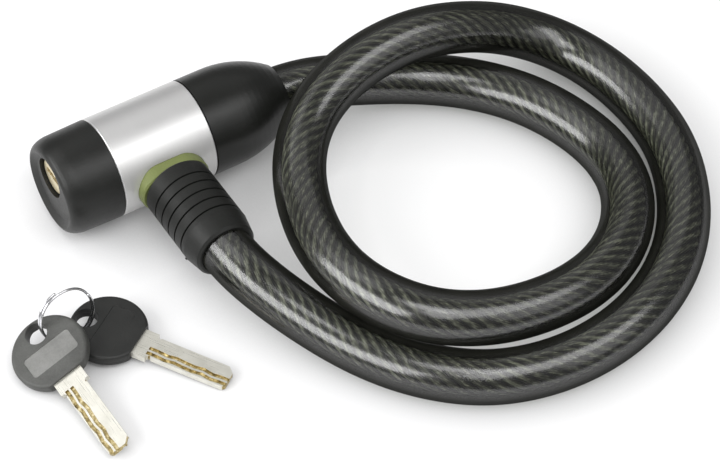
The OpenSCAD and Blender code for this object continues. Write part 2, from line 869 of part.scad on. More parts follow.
front_cap();
housing_sleeve();
tail_cover();
lock_core();
cylinder_shell();
cylinder_pin();
socket_collar();
tail_ferrule();
tail_pin();
cable_jacket();
cable_rope();
lead_jacket();
lead_rope();
cylinder_plug();
track_wafers();
wafer_springs();
plug_clip();
latch_plate();
bolt();
bolt_pin();
bolt_ferrule();
bolt_boot();
key_ring();
key_a_blade();
key_a_bow();
key_b_blade();
key_b_bow();
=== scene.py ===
import json
import math

import bmesh
import bpy
import numpy as np
from mathutils import Matrix, Vector


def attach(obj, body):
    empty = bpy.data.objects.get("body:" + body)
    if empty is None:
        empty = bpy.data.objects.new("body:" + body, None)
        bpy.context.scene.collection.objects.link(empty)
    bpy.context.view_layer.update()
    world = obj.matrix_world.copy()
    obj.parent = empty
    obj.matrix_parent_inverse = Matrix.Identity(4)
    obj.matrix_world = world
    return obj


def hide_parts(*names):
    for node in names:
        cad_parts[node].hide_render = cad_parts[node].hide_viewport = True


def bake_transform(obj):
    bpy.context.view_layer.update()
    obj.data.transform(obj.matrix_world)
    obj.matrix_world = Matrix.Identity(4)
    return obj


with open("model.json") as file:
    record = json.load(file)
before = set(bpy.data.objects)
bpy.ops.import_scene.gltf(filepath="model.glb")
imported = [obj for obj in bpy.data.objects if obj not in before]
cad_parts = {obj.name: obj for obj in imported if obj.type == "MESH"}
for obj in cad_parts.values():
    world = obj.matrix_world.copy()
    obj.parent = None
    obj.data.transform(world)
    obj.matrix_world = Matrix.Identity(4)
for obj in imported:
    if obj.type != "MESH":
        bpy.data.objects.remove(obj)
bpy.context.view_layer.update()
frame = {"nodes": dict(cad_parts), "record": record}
MM = 0.001


# ---------------------------------------------------------------- camera and lamps

# The view fitted to the photo, in degrees and metres, with the lens in millimetres
AZIMUTH, ELEVATION, DISTANCE, LENS = -31.5, 48.7, 0.950, 141.1
TARGET = Vector((48.7, -57.9, 0)) * MM


def aimed(name, data, azimuth, elevation, distance):
    """A camera or lamp that looks at the target from that direction, in degrees, and distance."""
    obj = bpy.data.objects.new(name, data)
    bpy.context.scene.collection.objects.link(obj)
    a, e = math.radians(azimuth), math.radians(elevation)
    back = Vector((math.sin(a) * math.cos(e), -math.cos(a) * math.cos(e), math.sin(e)))
    obj.location = TARGET + back * distance
    obj.rotation_euler = back.to_track_quat("Z", "Y").to_euler()
    return obj


def add_camera():
    data = bpy.data.cameras.new("camera")
    data.lens = LENS
    data.sensor_width = 36
    data.clip_start = 0.02
    bpy.context.scene.camera = aimed("camera", data, AZIMUTH, ELEVATION, DISTANCE)


def add_lamp(name, azimuth, elevation, distance, size, watts):
    data = bpy.data.lights.new(name, "AREA")
    data.shape = "RECTANGLE"
    data.size, data.size_y = size
    data.energy = watts
    aimed(name, data, azimuth, elevation, distance)


add_camera()
bpy.context.scene.view_settings.view_transform = "Standard"


# ---------------------------------------------------------------- material helpers

class Graph:
    """A node material under construction."""

    def __init__(self, name):
        self.mat = bpy.data.materials.new(name)
        self.mat.use_nodes = True
        self.tree = self.mat.node_tree
        self.tree.nodes.clear()
        self.out = self.add("ShaderNodeOutputMaterial")

    def add(self, kind, **values):
        """A node, with its settings and its inputs' values by name; _ stands for a space in an input's."""
        node = self.tree.nodes.new(kind)
        for key, value in values.items():
            if hasattr(node, key):
                setattr(node, key, value)
            else:
                node.inputs[key.replace("_", " ")].default_value = value
        return node

    def link(self, source, target):
        self.tree.links.new(source, target)

    def split(self, vector):
        """The three parts of a vector."""
        node = self.add("ShaderNodeSeparateXYZ")
        self.link(vector, node.inputs[0])
        return node.outputs

    def principled(self, color, rough, metal=0.0, spec=0.5):
        return self.add("ShaderNodeBsdfPrincipled", Base_Color=(*color, 1), Roughness=rough,
                        Metallic=metal, Specular_IOR_Level=spec)

    def coords(self, stretch=None):
        """The object's own coordinates, multiplied by an amount per axis if one is given."""
        own = self.add("ShaderNodeTexCoord").outputs["Object"]
        if stretch is None:
            return own
        node = self.add("ShaderNodeMapping", Scale=stretch)
        self.link(own, node.inputs["Vector"])
        return node.outputs["Vector"]

    def noise(self, scale, detail, rough, distortion=0.0, at=None):
        """Noise over the object's own coordinates, or over those given."""
        node = self.add("ShaderNodeTexNoise", Scale=scale, Detail=detail, Roughness=rough,
                        Distortion=distortion)
        self.link(self.coords() if at is None else at, node.inputs["Vector"])
        return node.outputs["Fac"]

    def ramp(self, fac, stops):
        node = self.add("ShaderNodeValToRGB")
        elements = node.color_ramp.elements
        while len(elements) < len(stops):
            elements.new(0.5)
        for element, (at, color) in zip(elements, stops):
            element.position = at
            element.color = (*color, 1)
        self.link(fac, node.inputs["Fac"])
        return node.outputs["Color"]

    def span(self, fac, low, high, to_low, to_high):
        """What runs from low to high, carried over to another range and held within it."""
        node = self.add("ShaderNodeMapRange", From_Min=low, From_Max=high, To_Min=to_low, To_Max=to_high)
        self.link(fac, node.inputs["Value"])
        return node.outputs["Result"]

    def math(self, operation, a, b=None, clamp=False):
        node = self.add("ShaderNodeMath", operation=operation, use_clamp=clamp)
        for i, value in enumerate((a, b)):
            if isinstance(value, (int, float)):
                node.inputs[i].default_value = value
            elif value is not None:
                self.link(value, node.inputs[i])
        return node.outputs["Value"]

    def blended(self, a, share, b):
        """Two values added, with that share of the second."""
        return self.math("ADD", self.math("MULTIPLY", a, 1 - share), self.math("MULTIPLY", b, share))

    def mix(self, fac, a, b):
        node = self.add("ShaderNodeMix", data_type="RGBA")
        self.link(fac, node.inputs[0])
        for i, color in ((6, a), (7, b)):
            if isinstance(color, tuple):
                node.inputs[i].default_value = (*color, 1)
            else:
                self.link(color, node.inputs[i])
        return node.outputs[2]

    def mix_shader(self, fac, a, b):
        node = self.add("ShaderNodeMixShader")
        for i, source in enumerate((fac, a.outputs[0], b.outputs[0])):
            self.link(source, node.inputs[i])
        return node

    def bump(self, height, distance, strength):
        node = self.add("ShaderNodeBump", Distance=distance, Strength=strength)
        self.link(height, node.inputs["Height"])
        return node.outputs["Normal"]

    def finish(self, shader):
        self.link(shader.outputs[0], self.out.inputs["Surface"])
        return self.mat


def moulded_plastic(name, dark, light, rough, grain=0.02, scale=1700.0, bump=0.00005, spec=0.4):
    """Moulded plastic: fine spark-eroded grain, slow shade changes and a little scuffing."""
    g = Graph(name)
    fine = g.noise(scale, 2.0, 0.6)
    broad = g.noise(60.0, 3.0, 0.55)
    scuff = g.noise(420.0, 4.0, 0.7, 0.6)
    shader = g.principled(dark, rough, spec=spec)
    g.link(g.ramp(g.blended(broad, 0.3, fine), [(0.3, dark), (0.7, light)]), shader.inputs["Base Color"])
    g.link(g.span(scuff, 0.3, 0.75, rough - grain * 2, rough + grain * 3), shader.inputs["Roughness"])
    g.link(g.bump(fine, bump, 0.8), shader.inputs["Normal"])
    return g.finish(shader)


def turned_metal(name, color, rough, axis="X", lines=900.0, streak=0.08, bump=0.000004, metal=1.0):
    """Metal with fine lines round an axis, as turning or round brushing leaves."""
    g = Graph(name)
    stretch = [lines if way == axis else 14 for way in "XYZ"]
    line = g.noise(1.0, 3.0, 0.6, at=g.coords(stretch))
    cloud = g.noise(90.0, 3.0, 0.5)
    shader = g.principled(color, rough, metal)
    low = tuple(c * (1 - streak) for c in color)
    high = tuple(min(1, c * (1 + streak)) for c in color)
    g.link(g.ramp(line, [(0.35, low), (0.65, high)]), shader.inputs["Base Color"])
    g.link(g.span(g.blended(line, 0.4, cloud), 0.3, 0.7, rough - 0.05, rough + 0.06), shader.inputs["Roughness"])
    g.link(g.bump(line, bump, 0.7), shader.inputs["Normal"])
    return g.finish(shader)


def cast_metal(name, color, rough):
    """Die-cast metal: mottled, with a fine orange-peel skin."""
    g = Graph(name)
    spots = g.noise(700.0, 4.0, 0.6)
    cloud = g.noise(80.0, 3.0, 0.5)
    shader = g.principled(color, rough, 1.0)
    low = tuple(c * 0.82 for c in color)
    g.link(g.ramp(cloud, [(0.3, low), (0.7, color)]), shader.inputs["Base Color"])
    g.link(g.span(spots, 0.3, 0.7, rough - 0.06, rough + 0.1), shader.inputs["Roughness"])
    g.link(g.bump(spots, 0.00003, 0.6), shader.inputs["Normal"])
    return g.finish(shader)


# ---------------------------------------------------------------- mesh helpers

def link_mesh(name, mesh, material=None, smooth=True):
    obj = bpy.data.objects.new(name, mesh)
    bpy.context.scene.collection.objects.link(obj)
    if material is not None:
        mesh.materials.append(material)
    if smooth:
        mesh.polygons.foreach_set("use_smooth", [True] * len(mesh.polygons))
    return obj


def mesh_from(name, points, faces, uvs=None):
    mesh = bpy.data.meshes.new(name)
    mesh.from_pydata([tuple(p) for p in points], [], [tuple(f) for f in faces])
    if uvs is not None:
        layer = mesh.uv_layers.new(name="lay")
        layer.data.foreach_set("uv", np.asarray(uvs, float).ravel())
    mesh.validate()
    mesh.update()
    return mesh


def unit(vectors):
    return vectors / np.linalg.norm(vectors, axis=-1, keepdims=True)


def frames_along(path):
    """Side and up for each point of a path, carried along it without twist."""
    tangent = unit(np.gradient(path, axis=0))
    side = unit(np.cross(tangent[0], (0, 0, 1.0)))
    sides = [side]
    for t in tangent[1:]:
        side = unit(side - t * side.dot(t))
        sides.append(side)
    return np.array(sides), np.cross(tangent, sides)


def arc_length(path):
    return np.concatenate([[0], np.cumsum(np.linalg.norm(np.diff(path, axis=0), axis=1))])


def ring_mesh(centers, sides, ups, radius, around, v_along, closed_ends=True):
    """A tube through rings at the given centres; UV u goes round it and v along it."""
    n = len(centers)
    a = 2 * math.pi * np.arange(around) / around
    r = np.broadcast_to(radius, (n,))
    points = centers[:, None] + r[:, None, None] * (
        np.cos(a)[None, :, None] * sides[:, None] + np.sin(a)[None, :, None] * ups[:, None])
    faces, uvs = [], []
    for i in range(n - 1):
        for k in range(around):
            m = (k + 1) % around
            faces.append((i * around + k, i * around + m, (i + 1) * around + m, (i + 1) * around + k))
            u0, u1 = k / around, (k + 1) / around
            uvs += [(u0, v_along[i]), (u1, v_along[i]), (u1, v_along[i + 1]), (u0, v_along[i + 1])]
    if closed_ends:
        for first, flip in ((0, False), ((n - 1) * around, True)):
            loop = [first + k for k in range(around)]
            faces.append(tuple(loop if flip else loop[::-1]))
            uvs += [(0, 0)] * around
    return points.reshape(-1, 3), faces, uvs


def applied(obj):
    """Gives obj the mesh that its modifiers make, and drops them."""
    graph = bpy.context.evaluated_depsgraph_get()
    graph.update()
    mesh = bpy.data.meshes.new_from_object(obj.evaluated_get(graph))
    obj.modifiers.clear()
    obj.data = mesh


# ---------------------------------------------------------------- the cable's route

# The same points as the CAD model's cable_route, in millimetres
ROUTE = [
    (18.2, 0, 17.5), (34, 0, 17.5), (51.5, 0, 17.5),
    (62, -2, 17), (72, -4.5, 15.5), (85, -7.5, 12), (99, -13, 9.5), (114, -24.5, 9),
    (126, -40, 9), (133, -58, 9), (135.5, -76, 9.2), (131, -95, 11), (118, -112.5, 14),
    (102, -123, 16), (85, -127.5, 18), (68, -127.5, 20), (53, -124.5, 22.5), (40, -117.5, 24.5),
    (31, -106.5, 25.5), (25.5, -92, 25), (25, -74, 23.5), (29.5, -54.5, 22.5), (37.5, -37.5, 24),
    (49, -25, 27), (63.5, -18, 30.5), (80, -14.5, 32.5), (96, -13.5, 32), (110, -14, 29),
    (124, -15.5, 24), (136, -18, 18), (146, -23.5, 13), (153, -32, 10), (157.5, -45, 9), (159, -63, 9),
    (157, -82, 9), (150, -100, 9), (139, -117, 9), (124.5, -130.5, 9), (108, -139.5, 9),
    (92, -144, 9), (76, -145, 9), (61, -142.5, 9), (47.5, -137, 9),
    (36, -128, 9), (26.5, -117, 9), (18.5, -104, 9.5), (11.5, -91, 12), (5.5, -78, 15),
    (1.2, -65, 17.5), (0, -54, 17.5), (0, -41.9, 17.5), (0, -32, 17.5)]
# The route's point at which the lead takes over from the loops
LEAD_POINT = 42
# Points at each end that the cable goes straight through, where it is held
HELD_POINTS = 3
SPLINE_STEPS = 24


def smooth_route():
    """A cubic B-spline near the route's points, straight where the cable is held at both ends."""
    p = np.array(ROUTE, float) * MM
    bend = p[1:-1] - (p[:-2] + p[2:]) / 2
    soft = bend.copy()
    soft[1:-1] = (bend[:-2] + 2 * bend[1:-1] + bend[2:]) / 4
    control = p.copy()
    control[1:-1] += soft / 3
    control[:HELD_POINTS] = p[:HELD_POINTS]
    control[-HELD_POINTS:] = p[-HELD_POINTS:]
    control = np.vstack([2 * control[0] - control[1], control, 2 * control[-1] - control[-2]])
    out = []
    for i in range(len(control) - 3):
        for t in np.linspace(0, 1, SPLINE_STEPS, endpoint=False):
            weights = np.array([(1 - t) ** 3, 3 * t ** 3 - 6 * t ** 2 + 4,
                                -3 * t ** 3 + 3 * t ** 2 + 3 * t + 1, t ** 3]) / 6
            out.append(weights @ control[i:i + 4])
    out.append(np.array([1, 4, 1]) @ control[-3:] / 6)
    return np.array(out)


def even_steps(start, stop, step):
    """Arc lengths from start to stop, evenly spaced about a step apart."""
    return np.linspace(start, stop, max(2, int(round((stop - start) / step)) + 1))


def sampled(table, s, at):
    """A table of points or directions at the arc lengths s, read at others."""
    return np.stack([np.interp(at, s, table[:, k]) for k in range(3)], 1)


FINE_ROUTE = smooth_route()
FINE_S = arc_length(FINE_ROUTE)
EVEN_S = even_steps(0, FINE_S[-1], 0.5 * MM)
EVEN_ROUTE = sampled(FINE_ROUTE, FINE_S, EVEN_S)
EVEN_SIDE, EVEN_UP = frames_along(EVEN_ROUTE)


def nearest_s(point):
    """The arc length at which the cable's line passes a point given in millimetres."""
    return EVEN_S[np.argmin(np.linalg.norm(EVEN_ROUTE - np.array(point) * MM, axis=1))]


def framed(start, stop, step):
    """Centres, sides, ups and arc lengths along one stretch of the cable."""
    at = even_steps(start, stop, step)
    return (*(sampled(table, EVEN_S, at) for table in (EVEN_ROUTE, EVEN_SIDE, EVEN_UP)), at)


S_ROPE_START = 0.0
S_JACKET_START = nearest_s(ROUTE[1])
S_LEAD = nearest_s(ROUTE[LEAD_POINT])
S_JACKET_END = nearest_s(ROUTE[-2])
S_ROPE_END = EVEN_S[-1]


# ---------------------------------------------------------------- the cable's materials

# The bore's wall is told from the outside by its u, which starts here
BORE_U = 2.0
# How many of its wires a strand shows round itself and in a metre along itself, and how often painted glints
# come along a wire
WIRES_ROUND, WIRES_ALONG, GLINTS = 12.0, 420.0, 330.0


def across(g):
    """How squarely the cable's round side faces the viewer, whatever way the cable runs.

    It is 1 midway across the cable and 0 at its edges."""
    round_way = g.add("ShaderNodeTangent", direction_type="UV_MAP", uv_map="lay")
    along = g.add("ShaderNodeVectorMath", operation="CROSS_PRODUCT")
    g.link(g.add("ShaderNodeNewGeometry").outputs["Normal"], along.inputs[0])
    g.link(round_way.outputs[0], along.inputs[1])
    side = g.add("ShaderNodeLayerWeight", Blend=0.5)
    end = g.add("ShaderNodeLayerWeight", Blend=0.5)
    g.link(along.outputs[0], end.inputs["Normal"])
    facing = g.math("SUBTRACT", 1.0, side.outputs["Facing"])
    lengthways = g.math("SUBTRACT", 1.0, end.outputs["Facing"])
    sideways = g.math("SQRT", g.math("SUBTRACT", 1.0, g.math("MULTIPLY", lengthways, lengthways), clamp=True))
    # Seen end on, a cable has no sideways part to divide by
    return g.math("DIVIDE", facing, g.math("MAXIMUM", sideways, 0.05))


def jacket_material():
    """Clear smoky PVC: see-through over the rope, dark where only the wall is in the way, with a wet gloss."""
    g = Graph("jacket_clear")
    square = across(g)
    cloud = g.noise(130.0, 3.0, 0.55)
    fine = g.noise(900.0, 3.0, 0.6)
    clear = g.add("ShaderNodeBsdfTransparent", Color=(0.92, 0.93, 0.89, 1))
    wall = g.add("ShaderNodeBsdfDiffuse")
    smoky = g.ramp(cloud, [(0.3, (0.012, 0.0122, 0.010)), (0.7, (0.019, 0.0193, 0.016))])
    g.link(smoky, wall.inputs["Color"])
    inside = g.mix_shader(g.span(square, 0.60, 0.77, 0.95, 0.04), clear, wall)
    gloss = g.add("ShaderNodeBsdfGlossy", Color=(1, 1, 1, 1), Roughness=0.22)
    waves = g.math("ADD", cloud, g.math("MULTIPLY", fine, 0.08))
    g.link(g.bump(waves, 0.00010, 0.22), gloss.inputs["Normal"])
    near_side = g.mix_shader(g.span(square, 0.45, 0.85, 0.030, 0.098), inside, gloss)
    # Past the rope the jacket's far side is seen, and it is dark like the wall
    back = g.add("ShaderNodeNewGeometry").outputs["Backfacing"]
    outside = g.mix_shader(back, near_side, wall)
    # The bore's wall adds nothing, and light on its way to the rope is only dimmed
    plain = g.add("ShaderNodeBsdfTransparent", Color=(0.93, 0.94, 0.91, 1))
    u = g.split(g.add("ShaderNodeUVMap", uv_map="lay").outputs[0])[0]
    bore = g.math("GREATER_THAN", u, BORE_U - 0.5)
    shadow = g.add("ShaderNodeLightPath").outputs["Is Shadow Ray"]
    return g.finish(g.mix_shader(g.math("MAXIMUM", bore, shadow), outside, plain))


def rope_material():
    """Stranded steel wire, dark with oil: fine wires run along each strand, with painted glints on single wires,
    painted highlights along the strands' crests and painted shade between the wires and between the strands.
    """
    g = Graph("rope_steel")
    u, v, _ = g.split(g.add("ShaderNodeUVMap", uv_map="lay").outputs[0])
    # Wires lie on the strand at a slant: u goes round it and v along it
    slant = g.math("ADD", g.math("MULTIPLY", u, WIRES_ROUND), g.math("MULTIPLY", v, WIRES_ALONG))
    wires = g.span(g.math("SINE", g.math("MULTIPLY", slant, 2 * math.pi)), -1, 1, 0, 1)
    wire_at = g.add("ShaderNodeCombineXYZ")
    g.link(slant, wire_at.inputs[0])
    g.link(g.math("MULTIPLY", v, GLINTS), wire_at.inputs[1])
    single = g.noise(1.0, 2.0, 0.6, at=wire_at.outputs[0])
    tint = g.noise(150.0, 3.0, 0.6)
    # The brightest stop is painted glints on single wires; the lower stops are the wires' own tone
    steel = g.ramp(single, [(0.36, (0.040, 0.041, 0.029)), (0.56, (0.15, 0.155, 0.115)),
                            (0.68, (0.80, 0.80, 0.65))])
    dim = g.mix(g.span(tint, 0.35, 0.65, 0.45, 1.0), (0.03, 0.031, 0.023), steel)
    # Painted shade darkens the grooves between the wires
    wear_and_painted_shade = g.mix(g.span(wires, 0.0, 0.55, 0.25, 1.0), (0.008, 0.008, 0.006), dim)
    # Painted shade darkens the valleys between the strands; u is 0 on a strand's crest
    crest = g.math("COSINE", g.math("MULTIPLY", u, 2 * math.pi))
    strand_valley_shade = g.mix(g.span(crest, 0.42, 0.93, 0.0, 1.0), (0.005, 0.005, 0.004), wear_and_painted_shade)
    # A painted highlight runs along the wires of each strand's crest, in places
    crest_highlight = g.math("MULTIPLY", g.span(crest, 0.86, 0.99, 0.0, 1.0), g.span(single, 0.38, 0.62, 0.15, 1.0))
    highlight_patches = g.span(g.noise(55.0, 2.0, 0.5), 0.42, 0.58, 0.25, 0.80)
    color = g.mix(g.math("MULTIPLY", crest_highlight, highlight_patches), strand_valley_shade, (0.60, 0.61, 0.50))
    shader = g.principled((0.2, 0.2, 0.16), 0.36, 0.55)
    g.link(color, shader.inputs["Base Color"])
    g.link(g.span(single, 0.3, 0.7, 0.5, 0.26), shader.inputs["Roughness"])
    g.link(g.bump(wires, 0.00016, 0.9), shader.inputs["Normal"])
    return g.finish(shader)


JACKET, ROPE = jacket_material(), rope_material()


# ---------------------------------------------------------------- the cable's jacket and rope

CABLE_R, BORE_R, ROPE_R = 9.0 * MM, 6.1 * MM, 6.0 * MM
JACKET_STEP, JACKET_SIDES = 2.0 * MM, 40
STRANDS, STRAND_R, STRAND_SIDES = 9, 1.46 * MM, 10
LAY_R, LAY_LENGTH = ROPE_R - STRAND_R, 42.0 * MM
ROPE_STEP, CORE_SIDES = 1.6 * MM, 12


def jacket_piece(name, start, stop, open_start, open_stop):
    """The jacket's outer and inner walls as one shell, with a flat rim at each end that isn't open."""
    centers, sides, ups, at = framed(start, stop, JACKET_STEP)
    around = JACKET_SIDES
    outer = ring_mesh(centers, sides, ups, CABLE_R, around, at, closed_ends=False)
    inner = ring_mesh(centers, sides, ups, BORE_R, around, at, closed_ends=False)
    base = len(outer[0])
    points = np.vstack([outer[0], inner[0]])
    faces = outer[1] + [tuple(base + i for i in reversed(f)) for f in inner[1]]
    uvs = outer[2] + [(u + BORE_U, v) for q in range(len(inner[1]))
                      for u, v in reversed(inner[2][4 * q:4 * q + 4])]
    last = (len(centers) - 1) * around
    for is_open, first, flip in ((open_start, 0, False), (open_stop, last, True)):
        if is_open:
            continue
        for k in range(around):
            m = (k + 1) % around
            quad = (first + k, base + first + k, base + first + m, first + m)
            faces.append(quad[::-1] if flip else quad)
            uvs += [(0, 0)] * 4
    return link_mesh(name, mesh_from(name, points, faces, uvs), JACKET), centers


def rope_piece(name, start, stop):
    """The rope's strands, each a tube on a right-hand helix round the cable's line, over a plain core."""
    centers, sides, ups, at = framed(start, stop, ROPE_STEP)
    points, faces, uvs = [], [], []

    def take(part):
        base = sum(len(p) for p in points)
        points.append(part[0])
        faces.extend(tuple(base + i for i in f) for f in part[1])
        uvs.extend(part[2])

    for k in range(STRANDS):
        turn = 2 * math.pi * (k / STRANDS + at / LAY_LENGTH)
        helix = centers + LAY_R * (np.cos(turn)[:, None] * sides + np.sin(turn)[:, None] * ups)
        out = (helix - centers) / LAY_R
        side = unit(np.cross(unit(np.gradient(helix, axis=0)), out))
        take(ring_mesh(helix, out, side, STRAND_R, STRAND_SIDES, arc_length(helix) + start))
    take(ring_mesh(centers, sides, ups, LAY_R, CORE_SIDES, at))
    return link_mesh(name, mesh_from(name, np.vstack(points), faces, uvs), ROPE)


loops_jacket, loops_line = jacket_piece("loops_jacket", S_JACKET_START, S_LEAD, False, True)
loops_rope = rope_piece("loops_rope", S_ROPE_START, S_LEAD)
lead_jacket, lead_line = jacket_piece("lead_jacket_clear", S_LEAD, S_JACKET_END, True, False)
lead_rope = rope_piece("lead_rope_wires", S_LEAD, S_ROPE_END)

for piece, slot, node in (
        (loops_jacket, "jacket_clear", "cable_jacket"), (loops_rope, "rope_steel", "cable_rope"),
        (lead_jacket, "jacket_clear", "lead_jacket"), (lead_rope, "rope_steel", "lead_rope")):
    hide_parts(node)
for piece in (loops_jacket, loops_rope):
    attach(piece, "lock")
for piece in (lead_jacket, lead_rope):
    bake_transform(piece)


# ---------------------------------------------------------------- materials of the lock and keys

# A blade's face is a track's floor within these distances of its middle plane and its middle line
TRACK_FLOOR, TRACK_BAND = 1.02 * MM, 3.9 * MM
# The bow's upper face, and the bare panel sunk in it, in the key's own axes and millimetres
BOW_TOP = 2.2
PANEL_FROM, PANEL_TO, PANEL_DEPTH, PANEL_CORNER = (5.4, -8.8), (13.4, 8.9), 0.22, 1.2
CORNER_STEPS = 6
# The mould's parting line: how far its floor and its rims lie off the bow's middle plane
SEAM_LOW, SEAM_HIGH = 0.05 * MM, 0.16 * MM


def blade_material():
    """Nickel silver with a fine lengthwise finish; the cutter leaves the floors of the tracks brassy.

    Each blade is placed from its own axes, x along it and z through its thickness."""
    g = Graph("blade_nickel")
    _, y, z = g.split(g.coords())
    line = g.noise(1.0, 3.0, 0.6, at=g.coords((60, 5200, 5200)))
    cloud = g.noise(240.0, 3.0, 0.6)
    nickel = g.ramp(cloud, [(0.3, (0.70, 0.685, 0.61)), (0.7, (0.84, 0.825, 0.75))])
    wear_and_painted_shade = g.noise(620.0, 3.0, 0.7)
    brass = g.ramp(wear_and_painted_shade, [(0.32, (0.13, 0.095, 0.035)), (0.50, (0.46, 0.36, 0.15)),
                          (0.68, (0.90, 0.80, 0.52))])
    below = g.math("LESS_THAN", g.math("ABSOLUTE", z), TRACK_FLOOR)
    within = g.math("LESS_THAN", g.math("ABSOLUTE", y), TRACK_BAND)
    shader = g.principled((0.8, 0.78, 0.7), 0.3, 0.7)
    g.link(g.mix(g.math("MULTIPLY", below, within), nickel, brass), shader.inputs["Base Color"])
    g.link(g.span(line, 0.3, 0.7, 0.26, 0.36), shader.inputs["Roughness"])
    g.link(g.bump(line, 0.0000008, 0.6), shader.inputs["Normal"])
    return g.finish(shader)


def bow_material(name, dark, light, panel_dark, panel_light):
    """Black plastic with a coarse spark-eroded grain, and the mould's parting line round its side."""
    g = Graph(name)
    at = g.split(g.coords())
    height = g.math("ABSOLUTE", at[2])

    def near(value, middle, reach):
        return g.math("LESS_THAN", g.math("ABSOLUTE", g.math("SUBTRACT", value, middle)), reach)

    grain = g.noise(1700.0, 3.0, 0.65)
    broad = g.noise(110.0, 3.0, 0.6)
    tone = g.blended(broad, 0.4, grain)
    black = g.ramp(tone, [(0.34, dark), (0.68, light)])
    panel_tone = g.ramp(tone, [(0.34, panel_dark), (0.68, panel_light)])
    sunk = near(height, (BOW_TOP - PANEL_DEPTH) * MM, 0.1 * MM)
    inside = [near(at[i], (a + b) / 2 * MM, (b - a) / 2 * MM)
              for i, (a, b) in enumerate(zip(PANEL_FROM, PANEL_TO))]
    panel = g.math("MULTIPLY", sunk, g.math("MULTIPLY", *inside))
    shader = g.principled((0.02, 0.021, 0.02), 0.5)
    g.link(g.mix(panel, black, panel_tone), shader.inputs["Base Color"])
    g.link(g.span(grain, 0.3, 0.7, 0.42, 0.58), shader.inputs["Roughness"])
    seam = g.span(height, SEAM_LOW, SEAM_HIGH, 0.0, 1.0)
    relief = g.math("ADD", g.math("MULTIPLY", grain, 0.35), seam)
    g.link(g.bump(relief, 0.00018, 0.7), shader.inputs["Normal"])
    return g.finish(shader)


MATERIALS = {"blade_nickel": blade_material()}
for name, make, *looks in (
        ("cap_plastic", moulded_plastic, (0.009, 0.0095, 0.0085), (0.017, 0.0175, 0.016), 0.40),
        ("tail_plastic", moulded_plastic, (0.007, 0.0075, 0.0065), (0.013, 0.0135, 0.012), 0.34),
        ("collar_green", moulded_plastic, (0.14, 0.17, 0.052), (0.21, 0.24, 0.082), 0.42),
        ("boot_rubber", moulded_plastic, (0.007, 0.0075, 0.0065), (0.014, 0.0145, 0.013), 0.48,
         0.03, 1300.0, 0.00006, 0.35),
        ("sleeve_aluminium", turned_metal, (0.79, 0.785, 0.78), 0.44, "X", 9000.0, 0.012, 0.0000004, 0.8),
        ("plug_brass", turned_metal, (0.86, 0.76, 0.52), 0.36, "X", 1200.0, 0.08, 0.000004, 0.75),
        ("shell_brass", turned_metal, (0.72, 0.55, 0.27), 0.32, "X"),
        ("wafer_brass", turned_metal, (0.70, 0.55, 0.28), 0.30, "X"),
        ("latch_steel", turned_metal, (0.46, 0.47, 0.50), 0.34, "X"),
        ("ferrule_steel", turned_metal, (0.52, 0.52, 0.53), 0.34, "Y"),
        ("spring_steel", turned_metal, (0.58, 0.58, 0.60), 0.26, "Y"),
        ("bolt_steel", turned_metal, (0.74, 0.74, 0.76), 0.16, "Y", 1200.0, 0.04),
        ("pin_steel", turned_metal, (0.50, 0.50, 0.52), 0.28, "Z"),
        ("ring_steel", turned_metal, (0.76, 0.76, 0.78), 0.14, "Z", 400.0, 0.04),
        ("core_zinc", cast_metal, (0.50, 0.51, 0.53), 0.42),
        ("bow_plastic", bow_material, (0.010, 0.0105, 0.0095), (0.021, 0.0215, 0.020),
         (0.012, 0.0125, 0.0115), (0.022, 0.0225, 0.021))):
    MATERIALS[name] = make(name, *looks)
# One key's bow is drawn a lighter grey than the other's, and its sunk panel lighter still
PALE_BOW = bow_material("bow_plastic_pale", (0.050, 0.051, 0.047), (0.100, 0.101, 0.095),
                        (0.15, 0.151, 0.143), (0.24, 0.24, 0.23))

for entry in frame["record"]["subparts"]:
    node = frame["nodes"].get(entry["node"])
    material = MATERIALS.get(entry["material_slot"])
    if node is None or material is None:
        continue
    if len(node.material_slots) == 0:
        node.data.materials.append(material)
    for held in node.material_slots:
        held.material = material


# ---------------------------------------------------------------- key ring

# Places and turns are the CAD model's, in millimetres and degrees
KEY_RING_AT, KEY_RING_TURN = (-54.9, -45.2, 10.1), (75, 0, 2.3)
KEY_RING_R, KEY_WIRE_R, KEY_RING_GAP = 9.6, 0.45, 0.45
# Turns of wire, the share of a turn over which it climbs, where it starts, and its ends' thickness
WIRE_TURNS, WIRE_CLIMB, WIRE_START, WIRE_TIP = 1.8, 0.2, math.radians(100), 0.6
WIRE_POINTS, WIRE_SIDES = 220, 12


def placed(at, turn):
    """A key's or ring's matrix, with the CAD model's order of turns."""
    x, y, z = (math.radians(t) for t in turn)
    return (Matrix.Translation(Vector(at) * MM) @ Matrix.Rotation(z, 4, "Z")
            @ Matrix.Rotation(y, 4, "Y") @ Matrix.Rotation(x, 4, "X"))


def key_ring_piece():
    """A wire wound nearly twice, whose second turn lies over the first."""
    t = np.linspace(0, WIRE_TURNS, WIRE_POINTS)
    climb = np.clip((t - 1 + WIRE_CLIMB) / WIRE_CLIMB, 0, 1)
    climb = climb * climb * (3 - 2 * climb)
    a = WIRE_START + 2 * math.pi * t
    pitch = 2 * KEY_WIRE_R + KEY_RING_GAP
    local = np.stack([KEY_RING_R * np.cos(a), KEY_RING_R * np.sin(a), pitch * (climb - 0.5)], 1) * MM
    side, up = frames_along(local)
    radius = np.full(len(t), KEY_WIRE_R * MM)
    radius[0] = radius[-1] = KEY_WIRE_R * WIRE_TIP * MM
    part = ring_mesh(local, side, up, radius, WIRE_SIDES, arc_length(local))
    obj = link_mesh("split_ring", mesh_from("split_ring", *part), MATERIALS["ring_steel"])
    obj.data.transform(placed(KEY_RING_AT, KEY_RING_TURN))
    return obj


split_ring = key_ring_piece()
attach(split_ring, "ring")
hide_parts("key_ring")


# ---------------------------------------------------------------- keys

KEY_A = ((-65.8, -45.8, 6.9), (21, 3.1, -87.6))
KEY_B = ((-48.7, -46.5, 4.3), (0.9, 3.3, -56.4))
BLADE_BEVEL, BOW_BEVEL = 0.08, 0.12


